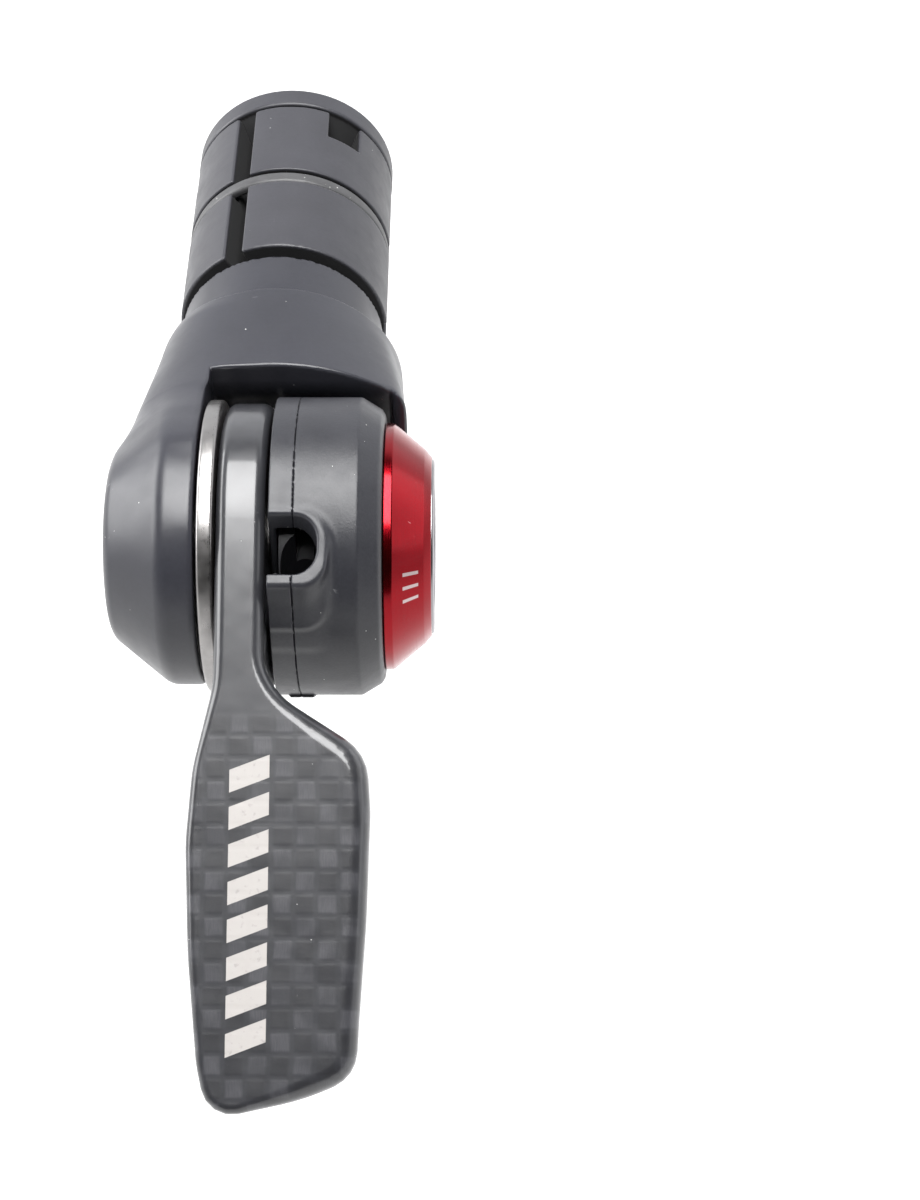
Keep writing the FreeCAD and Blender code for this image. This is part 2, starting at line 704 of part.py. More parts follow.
def pawl_shape(angle):
    """A pawl lifted clear of the teeth: a round hub with a tapered finger."""
    orbit = size("pawl_orbit")
    hub = size("pawl_hub_radius")
    left = size("ratchet_left_x")
    thickness = size("ratchet_right_x") - left
    pivot = Vector(left, size("pivot_y"), 0)
    centre = pivot + polar(orbit, angle)
    spread = math.acos((orbit ** 2 + PAWL_REACH ** 2 - PAWL_REST_RADIUS ** 2) / (2 * orbit * PAWL_REACH))
    inward = math.radians(angle + 180)
    heading = inward - spread
    direction = Vector(0, math.cos(heading), math.sin(heading))
    sideways = Vector(0, -direction.z, direction.y)
    tip_half = 0.25
    corners = [
        centre + sideways * hub,
        centre + direction * PAWL_REACH + sideways * tip_half,
        centre + direction * PAWL_REACH - sideways * tip_half,
        centre - sideways * hub,
    ]
    finger = Part.Face(Part.makePolygon(corners + corners[:1])).extrude(Vector(thickness, 0, 0))
    round_hub = Part.makeCylinder(hub, thickness, centre, Vector(1, 0, 0))
    hole_radius = size("pawl_pin_radius") + size("running_gap")
    hole = Part.makeCylinder(hole_radius, thickness, centre, Vector(1, 0, 0))
    return round_hub.fuse(finger).cut(hole).removeSplitter()


def pawl_spring(name, angle):
    """A thin turn of wire beside the pawl's hub."""
    ring = doc.addObject("Part::Torus", f"{name}_spring_ring")
    ring.Radius1 = 0.85
    ring.Radius2 = 0.1
    ring.Placement.Rotation = FreeCAD.Rotation(Vector(0, 1, 0), 90)
    bind(ring, x="ratchet_right_x + 0.13",
         y=f"pivot_y + pawl_orbit * cos( {angle} )", z=f"pawl_orbit * sin( {angle} )")
    return ring


# ---------------------------------------------------------------- expander

def expander_parts():
    finish(cut("expander_bolt", turned("expander_bolt_body", [
        ("screw_head_front_y", "0"),
        ("screw_head_front_y", "screw_head_radius - 0.3"),
        ("screw_head_front_y + 0.3", "screw_head_radius"),
        ("screw_head_rear_y", "screw_head_radius"),
        ("screw_head_rear_y", "screw_radius"),
        ("screw_end_y - 0.5", "screw_radius"),
        ("screw_end_y", "screw_radius - 0.5"),
        ("screw_end_y", "0"),
    ], about="Y"), hex_socket()), "expander_bolt")
    washer = cut("expander_washer",
                 rod_y("washer_outside", "screw_head_rear_y + 0.05", "washer_rear_y", "screw_head_radius + 0.25"),
                 rod_y("washer_bore", "screw_head_rear_y", "washer_rear_y", "screw_radius + 0.1"))
    finish(washer, "expander_washer")
    nut = cut("wedge_nut",
              rod_y("nut_outside", "wedge_front_y + 0.1", "nut_rear_y", "nut_radius"),
              rod_y("nut_bore", "wedge_front_y", "nut_rear_y", "screw_radius + running_gap"))
    finish(nut, "wedge_nut")
    finish(rear_wedge(), "rear_wedge")
    ring = doc.addObject("Part::Torus", "o_ring")
    ring.Placement.Rotation = FreeCAD.Rotation(Vector(1, 0, 0), 90)
    bind(ring, Radius1="ring_slot_radius + ring_wire + 0.02", Radius2="ring_wire",
         y="ring_slot_front_y + ring_wire + 0.02")
    finish(ring, "o_ring")
    for number, middle in enumerate(SEGMENT_MIDDLES, start=1):
        finish(expander_segment(number, middle), f"expander_segment_{number}")


def hex_socket():
    socket = doc.addObject("Part::Prism", "expander_socket")
    socket.Polygon = 6
    socket.Circumradius = 2.31
    socket.Height = 3.5
    socket.Placement.Rotation = FreeCAD.Rotation(Vector(1, 0, 0), -90)
    bind(socket, y="screw_head_front_y - 1")
    return socket


def rear_wedge():
    """The cone that spreads the segments, its flange, and a key for each segment's window."""
    cone_foot = "plug_radius - 0.59"
    cone_front = f"flange_front_y - ( {cone_foot} - wedge_boss_radius )"
    body = turned("rear_wedge_body", [
        ("wedge_front_y", "nut_radius + 0.02"),
        ("wedge_front_y", "wedge_boss_radius - 0.3"),
        ("wedge_front_y + 0.3", "wedge_boss_radius"),
        (cone_front, "wedge_boss_radius"),
        ("flange_front_y", cone_foot),
        ("flange_front_y", "plug_radius"),
        ("flange_rear_y - 0.35", "plug_radius"),
        ("flange_rear_y", "plug_radius - 0.35"),
        ("flange_rear_y", "0"),
        ("screw_end_y + 0.9", "0"),
        ("screw_end_y + 0.9", "screw_radius + 0.1"),
        ("nut_rear_y + 0.02", "screw_radius + 0.1"),
        ("nut_rear_y + 0.02", "nut_radius + 0.02"),
    ], about="Y")
    keys = [wedge_key(number, middle) for number, middle in enumerate(SEGMENT_MIDDLES, start=1)]
    cable = rod_y("wedge_cable_hole", "wedge_front_y - 1", "flange_rear_y + 1", "cable_hole",
                  x="cable_wedge_x", z="cable_wedge_z")
    ferrule = rod_y("ferrule_seat", "flange_rear_y - ferrule_depth", "flange_rear_y + 1", "ferrule_radius",
                    x="cable_wedge_x", z="cable_wedge_z")
    return cut("rear_wedge", fuse("rear_wedge", body, *keys), cable, ferrule)


def wedge_key(number, middle):
    key = doc.addObject("Part::Box", f"wedge_key_{number}")
    key_width = 1.5
    key.Length = size("plug_radius") - 0.8 - 5.0
    key.Height = key_width
    bind(key, Width="flange_front_y + 0.5 - 27.2")
    turn = FreeCAD.Rotation(Vector(0, 1, 0), -middle)
    key.Placement = FreeCAD.Placement(turn.multVec(Vector(5.0, 27.2, -key_width / 2)), turn)
    return key


def expander_segment(number, middle):
    """One of the three shells that grip the bar. Each is turned through its own angle and then
    swung round the bar's axis to its place."""
    rear_cone = "plug_radius - 0.59 - ( flange_front_y - segment_rear_y ) + cone_gap"
    front_cone = "front_cone_radius - ( segment_front_y - neck_length ) + cone_gap"
    body = turned(f"segment_{number}_body", [
        ("segment_front_y", front_cone),
        ("segment_front_y", "plug_radius - 0.25"),
        ("segment_front_y + 0.25", "plug_radius"),
        ("ring_slot_front_y", "plug_radius"),
        ("ring_slot_front_y", "ring_slot_radius"),
        ("ring_slot_rear_y", "ring_slot_radius"),
        ("ring_slot_rear_y", "plug_radius"),
        ("segment_rear_y - 0.2", "plug_radius"),
        ("segment_rear_y", "plug_radius - 0.2"),
        ("segment_rear_y", rear_cone),
        (f"segment_rear_y - ( {rear_cone} - segment_bore )", "segment_bore"),
        (f"segment_front_y + ( {front_cone} - segment_bore )", "segment_bore"),
    ], about="Y", angle="segment_angle")
    window = doc.addObject("Part::Box", f"segment_{number}_window")
    depth = 6.0
    bind(window, Width="segment_rear_y - window_front_y + 1", Height="window_width")
    window.Length = depth
    half_angle = size("segment_angle") / 2
    swing = FreeCAD.Rotation(Vector(0, 1, 0), half_angle_sign(body) * half_angle)
    corner = swing.multVec(Vector(5.0, size("window_front_y"), -size("window_width") / 2))
    window.Placement = FreeCAD.Placement(corner, swing)
    segment = cut(f"expander_segment_{number}", body, window)
    segment.Placement.Rotation = FreeCAD.Rotation(Vector(0, 1, 0), -middle - half_angle_sign(body) * half_angle)
    return segment


def half_angle_sign(body):
    """Tells which way the revolution ran about +Y, from where its middle lies."""
    doc.recompute()
    return 1 if body.Shape.CenterOfMass.z < 0 else -1


# ---------------------------------------------------------------- build and write

def check_and_export():
    doc.recompute()
    failed = [item.Label for item in doc.Objects if {"Invalid", "Error"} & set(item.State)]
    if failed:
        raise RuntimeError(f"these objects failed: {failed}")
    os.makedirs("parts", exist_ok=True)
    for part in subparts:
        shape = part.Shape
        if shape.isNull() or not shape.isValid() or not shape.Solids:
            raise RuntimeError(f"{part.Label} has no valid solid")
        shape.exportStep(f"parts/{part.Label}.step")
        print(f"{part.Label}: {len(shape.Solids)} solid, {shape.Volume:.1f} mm3")


fill_sheet()
housing_parts()
pivot_parts()
lever_parts()
finish(return_spring(), "return_spring")
cover_parts()
spool_parts()
pawl_parts()
expander_parts()
check_and_export()
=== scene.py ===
"""Looks for the bar-end shifter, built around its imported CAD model.

Lengths in the shape code are millimetres in the CAD model's own axes; meshes are written in metres.
"""

import json
import math

import bpy
import numpy as np
from mathutils import Matrix, Vector


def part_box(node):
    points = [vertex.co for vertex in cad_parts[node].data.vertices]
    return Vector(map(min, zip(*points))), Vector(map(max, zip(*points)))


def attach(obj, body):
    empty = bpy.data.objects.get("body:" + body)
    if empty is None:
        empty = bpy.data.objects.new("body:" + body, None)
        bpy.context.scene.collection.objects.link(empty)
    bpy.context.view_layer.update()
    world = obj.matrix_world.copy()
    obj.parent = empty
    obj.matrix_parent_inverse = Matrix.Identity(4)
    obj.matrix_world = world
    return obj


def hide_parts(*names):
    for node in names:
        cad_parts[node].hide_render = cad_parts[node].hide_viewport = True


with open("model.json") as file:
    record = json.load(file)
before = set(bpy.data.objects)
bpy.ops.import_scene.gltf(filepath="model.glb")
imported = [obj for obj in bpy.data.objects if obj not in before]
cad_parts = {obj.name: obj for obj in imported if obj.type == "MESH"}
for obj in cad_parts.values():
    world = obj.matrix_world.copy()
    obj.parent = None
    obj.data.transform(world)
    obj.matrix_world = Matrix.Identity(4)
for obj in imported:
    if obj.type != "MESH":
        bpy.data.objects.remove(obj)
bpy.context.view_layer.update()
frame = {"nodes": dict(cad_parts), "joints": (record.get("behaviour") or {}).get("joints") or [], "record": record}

MM = 0.001
NODES = frame["nodes"]


def joint_axis_point(name):
    """Where a hinge's axis lies, in millimetres."""
    for joint in frame["joints"]:
        if joint["name"] == name:
            return [value / MM for value in joint["pos_m"]]


PIVOT_Y = joint_axis_point("lever_pivot")[1]


# ------------------------------------------------------------------ distance fields

def smooth_min(a, b, width):
    overlap = np.maximum(width - np.abs(a - b), 0.0) / width
    return np.minimum(a, b) - overlap * overlap * width / 4


def smooth_max(a, b, width):
    return -smooth_min(-a, -b, width)


def cut_away(body, tool, width=0.3):
    """body less tool, with the new edges rounded over about this width."""
    return smooth_max(body, -tool, width)


def polygon_field(u, v, corners):
    """Signed distance to a closed polygon, negative inside."""
    nearest = np.full(u.shape, 1e9)
    inside = np.zeros(u.shape, bool)
    for (u0, v0), (u1, v1) in zip(corners, corners[1:] + corners[:1]):
        du, dv = u1 - u0, v1 - v0
        share = np.clip(((u - u0) * du + (v - v0) * dv) / (du * du + dv * dv), 0, 1)
        gap_u, gap_v = u - u0 - du * share, v - v0 - dv * share
        nearest = np.minimum(nearest, gap_u * gap_u + gap_v * gap_v)
        if dv:
            inside ^= ((v0 > v) != (v1 > v)) & (u < du * (v - v0) / dv + u0)
    return np.where(inside, -1, 1) * np.sqrt(nearest)


def both(a, b, radius):
    """Where both fields are inside, with a true arc of this radius along the shared edge."""
    a, b = a + radius, b + radius
    return np.minimum(np.maximum(a, b), 0) + np.hypot(np.maximum(a, 0), np.maximum(b, 0)) - radius


def between(values, low, high):
    return np.abs(values - (low + high) / 2) - (high - low) / 2


def rod_x(p, low, high, radius, y=0.0, z=0.0, edge=0.0):
    across = np.hypot(p[1] - PIVOT_Y - y, p[2] - z) - radius
    return both(across, between(p[0], low, high), edge)


def rod_y(p, low, high, radius, x=0.0, z=0.0, edge=0.0):
    return both(np.hypot(p[0] - x, p[2] - z) - radius, between(p[1], low, high), edge)


# ------------------------------------------------------------------ surfaces from fields

BLOCK = 4                       # cells along a coarse block's side
BLOCK_MARGIN = 1.6              # a block is worked out when the surface is this many sides away
PULL = 0.6                      # how far a point goes towards its faces' middles
LONGEST_MOVE = 0.7              # of a cell, in one step onto the surface
FLATTEST = 0.1                  # the least squared slope that a step is divided by


def sample(field, points, chunk=400_000):
    """The field at an N by 3 array of points."""
    parts = [field(points[i:i + chunk].T) for i in range(0, len(points), chunk)]
    return np.concatenate(parts) if parts else np.empty(0)


def slope(field, points, reach=0.02):
    """The field's gradient, from differences over twice this reach in millimetres."""
    found = np.empty_like(points)
    for axis in range(3):
        nudge = np.zeros(3)
        nudge[axis] = reach
        found[:, axis] = sample(field, points + nudge) - sample(field, points - nudge)
    return found / (2 * reach)


def grid_values(field, low, step, counts):
    """The field on a grid, worked out in full only in the blocks that the surface may cross."""
    blocks = -(-counts // BLOCK)
    middles = [low[a] + step * (BLOCK * np.arange(blocks[a]) + (BLOCK - 1) / 2) for a in range(3)]
    centres = np.stack(np.meshgrid(*middles, indexing="ij"), -1)
    coarse = sample(field, centres.reshape(-1, 3)).reshape(blocks)
    values = coarse
    for axis in range(3):
        values = np.repeat(values, BLOCK, axis)
    values = values[:counts[0], :counts[1], :counts[2]].copy()
    near = np.abs(values) < step * BLOCK * BLOCK_MARGIN
    cells = np.argwhere(near)
    values[near] = sample(field, low + step * cells)
    return values


def surface(name, field, low, high, step, settle=3):
    """A mesh of the field's zero surface: one vertex a cell, then moved onto the surface."""
    low = np.asarray(low, float)
    counts = np.ceil((np.asarray(high, float) - low) / step).astype(int) + 1
    values = grid_values(field, low, step, counts)
    inside = values < 0

    def corner(array, offset):
        return array[tuple(slice(o, o + n - 1) for o, n in zip(offset, counts))]

    offsets = [(i, j, k) for i in (0, 1) for j in (0, 1) for k in (0, 1)]
    filled = sum(corner(inside, o).astype(np.int8) for o in offsets)
    cells = np.argwhere((filled > 0) & (filled < 8))
    place = np.zeros((len(cells), 3))
    crossings = np.zeros(len(cells))
    for axis in range(3):
        for offset in offsets:
            if offset[axis]:
                continue
            start = cells + offset
            end = start.copy()
            end[:, axis] += 1
            a, b = values[tuple(start.T)], values[tuple(end.T)]
            crosses = (a < 0) != (b < 0)
            share = np.where(crosses, a / np.where(crosses, a - b, 1), 0)
            spot = np.array(offset, float) * np.ones((len(cells), 1))
            spot[:, axis] += share
            place += spot * crosses[:, None]
            crossings += crosses
    points = low + step * (cells + place / crossings[:, None])
    number = np.full(counts - 1, -1)
    number[tuple(cells.T)] = np.arange(len(cells))

    quads = []
    for axis in range(3):
        b, c = (axis + 1) % 3, (axis + 2) % 3
        lower = [slice(1, -1)] * 3
        lower[axis] = slice(0, counts[axis] - 1)
        upper = list(lower)
        upper[axis] = slice(1, counts[axis])
        near, far = inside[tuple(lower)], inside[tuple(upper)]
        at = np.argwhere(near != far)
        outwards = near[tuple(at.T)]
        at += [0 if a == axis else 1 for a in range(3)]
        ring = []
        for back_b, back_c in ((0, 0), (1, 0), (1, 1), (0, 1)):
            cell = at.copy()
            cell[:, b] -= back_b
            cell[:, c] -= back_c
            ring.append(number[tuple(cell.T)])
        ring = np.stack(ring, 1)
        ring[~outwards] = ring[~outwards, ::-1]
        quads.append(ring)
    quads = np.concatenate(quads)

    neighbours = np.bincount(quads.ravel(), minlength=len(points))
    for turn in range(settle):
        if turn:
            middles = points[quads].mean(1)
            mean = np.stack([np.bincount(quads.ravel(), np.repeat(middles[:, a], 4), len(points))
                             for a in range(3)], 1) / neighbours[:, None]
            points = points + (mean - points) * PULL
        for _ in range(2):
            lie = slope(field, points)
            steepness = np.maximum((lie * lie).sum(1), FLATTEST)
            shift = lie * (sample(field, points) / steepness)[:, None]
            points = points - np.clip(shift, -step * LONGEST_MOVE, step * LONGEST_MOVE)
    normals = slope(field, points)
    normals /= np.linalg.norm(normals, axis=1)[:, None]
    return mesh_object(name, points, quads, normals)


def mesh_object(name, points, faces, normals=None):
    """An object whose points are given in millimetres."""
    mesh = bpy.data.meshes.new(name)
    if isinstance(faces, np.ndarray):
        faces = faces.tolist()
    mesh.from_pydata(np.asarray(points) * MM, [], faces)
    mesh.shade_smooth()
    if normals is not None:
        mesh.normals_split_custom_set_from_vertices(normals)
    piece = bpy.data.objects.new(name, mesh)
    bpy.context.scene.collection.objects.link(piece)
    return piece


def rounded_path(corners, steps):
    """A closed path with an arc at each corner; a corner is (u, v, arc radius)."""
    path = []
    count = len(corners)
    for i, (u, v, radius) in enumerate(corners):
        here = Vector((u, v))
        if not radius:
            path.append(here)
            continue
        back = (Vector(corners[i - 1][:2]) - here).normalized()
        ahead = (Vector(corners[(i + 1) % count][:2]) - here).normalized()
        half = back.angle(ahead) / 2
        centre = here + (back + ahead).normalized() * (radius / math.sin(half))
        start = here + back * (radius / math.tan(half)) - centre
        end = here + ahead * (radius / math.tan(half)) - centre
        sweep = start.angle_signed(end)
        for step in range(steps + 1):
            path.append(centre + Matrix.Rotation(-sweep * step / steps, 2) @ start)
    return [(point.x, point.y) for point in path]


SHARP_ANGLE = math.radians(28)


def turned(name, corners, about="X", sides=160, steps=5):
    """A solid turned about the pivot's axis or the bar's, from a closed profile of
    (along, radius, arc radius) corners."""
    profile = rounded_path(corners, steps)
    points, faces = [], []
    for side in range(sides):
        angle = 2 * math.pi * side / sides
        cosine, sine = math.cos(angle), math.sin(angle)
        for along, radius in profile:
            if about == "X":
                points.append((along, PIVOT_Y + radius * cosine, radius * sine))
            else:
                points.append((radius * sine, along, radius * cosine))
    count = len(profile)
    for side in range(sides):
        here, there = side * count, (side + 1) % sides * count
        for i in range(count):
            j = (i + 1) % count
            faces.append((here + i, here + j, there + j, there + i))
    piece = mesh_object(name, points, faces)
    piece.data.set_sharp_from_angle(angle=SHARP_ANGLE)
    return piece


# ------------------------------------------------------------------ shapes

def eased(values, rows):
    """The later columns of rows as smooth curves of the first column, worked out at values."""
    rows = np.array(rows, float)
    at, columns = rows[:, 0], rows[:, 1:]
    slopes = np.gradient(columns, at, axis=0)
    place = np.clip(values, at[0], at[-1])
    i = np.clip(np.searchsorted(at, place, "right") - 1, 0, len(at) - 2)
    gap = at[i + 1] - at[i]
    t = (place - at[i]) / gap
    early, late = (1 + 2 * t) * (1 - t) ** 2, t * t * (3 - 2 * t)
    rise, fall = t * (1 - t) ** 2 * gap, t * t * (t - 1) * gap
    return [early * c[i] + late * c[i + 1] + rise * s[i] + fall * s[i + 1]
            for c, s in zip(columns.T, slopes.T)]


def from_pivot(p):
    return np.hypot(p[1] - PIVOT_Y, p[2])


def inset(corners, distance):
    """A polygon with every side moved inwards."""
    count = len(corners)
    turning = sum(corners[i - 1][0] * corners[i][1] - corners[i][0] * corners[i - 1][1]
                  for i in range(count))
    hand = 1 if turning > 0 else -1
    moved = []
    for i in range(count):
        before, here, after = (Vector(corners[j % count]) for j in (i - 1, i, i + 1))
        a, b = (here - before).normalized(), (after - here).normalized()
        normal_a, normal_b = Vector((-a.y, a.x)) * hand, Vector((-b.y, b.x)) * hand
        middle = normal_a + normal_b
        moved.append(tuple(here + middle * (2 * distance / middle.length_squared)))
    return moved


def rounded_polygon(u, v, corners, radius):
    return polygon_field(u, v, inset(corners, radius)) - radius


ARM_SECTIONS = [                                # y, reach beyond the pocket's side, half height
    (PIVOT_Y, 7.8, 11.4),
    (-15.0, 8.45, 10.7),
    (-10.0, 7.35, 9.9),
    (-5.0, 6.1, 9.4),
    (-0.6, 5.3, 9.0),
]
POCKET_SIDE, POCKET_RIGHT, POCKET_RADIUS = -5.0, 11.05, 14.0
CAP_ROOM = 11.4                                 # radius of the recess beside the red cap
COLLAR_FRONT, COLLAR_REACH = -11.2, -17.0       # its front edge, and where it dies into the arm
COLLAR_WIDE, COLLAR_TALL = 11.4, 10.97          # half sizes at the shoulder
COLLAR_SIDE = 11.75                             # half width between the straight sides in front
COLLAR_DROP, COLLAR_ARC = 7.6, 295.7            # the arcs' centre, and radius squared less that squared
COLLAR_CORNER = 24                              # the higher, the sharper where side meets arc
EAR_PROFILE = [(0, -3), (0, 12.25), (-8.2, 12.25), (-13.45, 8.0), (-13.45, -3)]    # X and radius
NECK_PROFILE = [(-3, -1), (-3, 9.62), (6.3, 9.62), (6.3, 8.9), (10.3, 4.9), (10.3, -1)]  # y and radius


def collar_ring(x, y, z):
    """How far a point lies outside the collar, which is round at the shoulder and turns into
    two shallow arcs between straight sides at its front."""
    forward = np.clip(y / COLLAR_FRONT, 0, 1.15)
    across = x - 0.25 - 0.4 * forward
    out = np.hypot(across, z) + 1e-9
    side, up = np.abs(across) / out + 1e-6, np.abs(z) / out
    round_end = 1 / np.sqrt((side / COLLAR_WIDE) ** 2 + (up / COLLAR_TALL) ** 2)
    arc = np.sqrt((COLLAR_DROP * up) ** 2 + COLLAR_ARC) - COLLAR_DROP * up
    wall = COLLAR_SIDE / side
    square_end = (arc ** -COLLAR_CORNER + wall ** -COLLAR_CORNER) ** (-1 / COLLAR_CORNER)
    return out - round_end - forward * (square_end - round_end)


def housing_field(p):
    x, y, z = p
    collar = both(collar_ring(x, y, z), between(y, COLLAR_REACH, 0), 0.25)
    reach, tall = eased(y, ARM_SECTIONS)
    oval = np.sqrt(((x - POCKET_SIDE) / reach) ** 2 + (z / tall) ** 2)
    arm = both((oval - 1) * 8.5, between(y, PIVOT_Y, -0.4), 1.5)
    body = smooth_min(collar, arm, 2.2)
    body = smooth_min(body, rounded_polygon(x, from_pivot(p), EAR_PROFILE, 1.9), 2.0)
    body = smooth_min(body, rounded_polygon(y, np.hypot(x, z), NECK_PROFILE, 0.1), 0.15)
    cuts = [
        (np.maximum(y - COLLAR_FRONT, POCKET_SIDE - x), 0.3),           # everything in front
        (rod_x(p, POCKET_SIDE, POCKET_RIGHT, POCKET_RADIUS, edge=0.3), 0.9),
        (rod_x(p, POCKET_SIDE, 40, CAP_ROOM, edge=0.3), 0.6),
        (rod_x(p, -10.9, 0, 9.2), 0.3),                                 # the spring's room
        (rod_x(p, -12.8, 0, 3.6), 0.1),                                 # the pivot's insert
        (rod_y(p, -15.25, -3.25, 4.6), 0.2),                            # the expander bolt's head
        (rod_y(p, -8, 12, 2.65), 0.1),                                  # and its hole
    ]
    for tool, width in cuts:
        body = cut_away(body, tool, width)
    return body


BLADE_SLOPE = math.radians(35.1)
BLADE_START = (-19.2, 2.2)                      # y and z of its upper face, from the pivot
HUB_LEFT, HUB_RIGHT, HUB_RADIUS, HUB_BORE = -3.3, 0.84, 12.6, 6.5
STEM_RADIUS = 12.84                             # where the stem wraps the hub
STEM_MIDDLE, STEM_HALF = math.radians(30), math.radians(88)     # and the angles that it covers
STEM_FADE = math.radians(30)
GUSSET = [(-6.5, 4.0), (-14.0, 3.2), (-15.6, 0.9), (-9.5, -8.0), (-6.5, -8.0)]
BLADE_OUTLINE = [  # X, distance down the blade and corner radius
    (-3.3, -15.49, 0), (-3.3, -0.4, 9), (-4.85, 6.5, 12), (-5.3, 12.5, 20), (-4.95, 21.5, 60),
    (-4.1, 30.4, 12), (-3.1, 34.9, 2.6), (4.9, 33.2, 20), (8.9, 31.4, 3.2), (9.1, 27.0, 30),
    (9.62, 19.0, 60), (9.88, 10.0, 12), (9.55, 5.0, 4.2), (5.2, 2.25, 9), (2.2, 0.35, 6),
    (0.84, -2.2, 5), (0.84, -15.49, 0)]


def on_blade(y, z):
    """Distance down the blade and height above its upper face, from pivot-based y and z."""
    y, z = y - BLADE_START[0], z - BLADE_START[1]
    return (-y * math.cos(BLADE_SLOPE) - z * math.sin(BLADE_SLOPE),
            -y * math.sin(BLADE_SLOPE) + z * math.cos(BLADE_SLOPE))


def lever_field(p):
    x, y, z = p[0], p[1] - PIVOT_Y, p[2]
    wide = between(x, HUB_LEFT, HUB_RIGHT)
    radius, elevation = np.hypot(y, z), np.arctan2(z, -y)
    swell = np.clip((STEM_HALF - np.abs(elevation - STEM_MIDDLE)) / STEM_FADE, 0, 1)
    rim = HUB_RADIUS + (STEM_RADIUS - HUB_RADIUS) * swell * swell * (3 - 2 * swell)
    hub = both(radius - rim, wide, 1.05)
    along, above = on_blade(y, z)
    thickness = 3.0 - np.clip(along, 0, 34) / 34
    onto_blade, to_right = np.clip((along + 3) / 8, 0, 1), np.clip((x + 1) / 6, 0, 1)
    crown = 1.05 + onto_blade * (0.9 * to_right - 0.3)
    outline = polygon_field(x, along, BLADE_EDGE)
    blade = np.maximum(both(outline, above, crown), both(outline, -above - thickness, 0.6))
    gusset = both(polygon_field(y, z, GUSSET), wide, 0.8)
    lever = smooth_min(np.minimum(hub, blade), gusset, 0.8)
    return cut_away(lever, rod_x(p, -10, 10, HUB_BORE), 0.3)


BLADE_EDGE = rounded_path(BLADE_OUTLINE, 4)

COVER_LEFT, COVER_SEAM, COVER_RIGHT, COVER_RADIUS, COVER_WALL = 1.18, 3.24, 10.62, 13.16, 1.36
COVER_FACES = (0.6, 0.92)                       # the thickness of its left and right faces
COVER_PROFILE = [(-4, -2), (-4, COVER_RADIUS), (8.6, COVER_RADIUS), (10.35, 12.1),
                 (COVER_RIGHT, 11.6), (COVER_RIGHT, -2)]        # X and radius
PORT_RIGHT, PORT_FRONT, PORT_REAR = 5.28, -11.9, -7.4
BOSS_RIGHT, BOSS_FRONT, BOSS_REAR = PORT_RIGHT + 0.9, -12.95, -7.5
RIM_TILT, RIM_AT = math.radians(26.8), (-7.3, 10.95)            # the port's rim, and a point on it
POUCH_TOP, POUCH_ARC = 13.65, 13.6              # its outer radius, and the one its arc is measured on
TAB_FACING = (-0.717, -0.697)                   # the way the bottom tab points, in y and z


def slot_field(across, up, right, low, high, curve):
    """A slot from left of the cover to its rounded right end."""
    corners = [(-4.0, low), (right, low), (right, high), (-4.0, high)]
    return rounded_polygon(across, up, corners, curve)


def cover_field(p):
    x, y, z = p[0], p[1] - PIVOT_Y, p[2]
    radius = from_pivot(p)
    shell = rounded_polygon(x, radius, COVER_PROFILE, 0.5)
    walls = slot_field(x, y, BOSS_RIGHT, BOSS_FRONT, BOSS_REAR, 2.2)
    rim = (y - RIM_AT[0]) * -math.sin(RIM_TILT) + (z - RIM_AT[1]) * math.cos(RIM_TILT)
    boss = both(both(walls, rim, 0.35), 1.0 - z, 0.3)
    pouch = slot_field(x, POUCH_ARC * np.arctan2(z, -y), BOSS_RIGHT, 3.2, 9.5, 2.4)
    outward = TAB_FACING[0] * y + TAB_FACING[1] * z
    sideways = -TAB_FACING[1] * y + TAB_FACING[0] * z
    tab = both(between(x, 2.2, 4.4), both(outward - 13.35, between(sideways, -1.6, 1.2), 0.1), 0.1)
    body = smooth_min(shell, boss, 1.2)
    body = smooth_min(body, both(pouch, radius - POUCH_TOP, 0.4), 0.5)
    body = smooth_min(body, np.maximum(tab, 12.5 - outward), 0.1)
    deep = between(x, COVER_LEFT + COVER_FACES[0], COVER_RIGHT - COVER_FACES[1])
    cuts = [
        (both(radius - (COVER_RADIUS - COVER_WALL), deep, 0.3), 0.2),
        (both(slot_field(x, y, PORT_RIGHT, PORT_FRONT, PORT_REAR, 2.0), 4.0 - z, 0), 0.3),
        (rod_x(p, -5, 9, 5.1), 0.1),                                    # the sleeve's room
        (rod_x(p, 8, 20, 3.07), 0.1),                                   # the pivot bolt
        (rod_y(p, PIVOT_Y + 6, 12, 1.0, 4.05, -9.0), 0.1),              # the cable
        (rod_y(p, -11.9, 12, 1.03, 7.5, -5.0), 0.1),                    # the dowel
    ]
    for tool, width in cuts:
        body = cut_away(body, tool, width)
    return body


def cover_inner_field(p):
    return np.maximum(cover_field(p), between(p[0], COVER_LEFT, COVER_SEAM))


def cover_outer_field(p):
    return np.maximum(cover_field(p), between(p[0], COVER_SEAM, 12))


PLUG_RADIUS, SEGMENT_HALF_ANGLE = 9.99, math.radians(109.3 / 2)
SEGMENT_MIDDLES = (56.5, 176.5, 296.5)
SEGMENT_PROFILE = [                             # y and radius
    (7.5, 7.98), (7.5, PLUG_RADIUS), (17.7, PLUG_RADIUS), (17.7, 8.65), (19.65, 8.65),
    (19.65, PLUG_RADIUS), (30.22, PLUG_RADIUS), (30.22, 9.3), (27.32, 6.4), (9.08, 6.4)]
WEDGE_PROFILE = [
    (21.5, -2), (21.5, 6.0), (27.2, 6.0), (30.6, 9.4), (30.6, PLUG_RADIUS), (33.15, PLUG_RADIUS),
    (33.15, -2)]
CABLE_HOLE = (3.0, -3.62)                       # X and Z of its middle


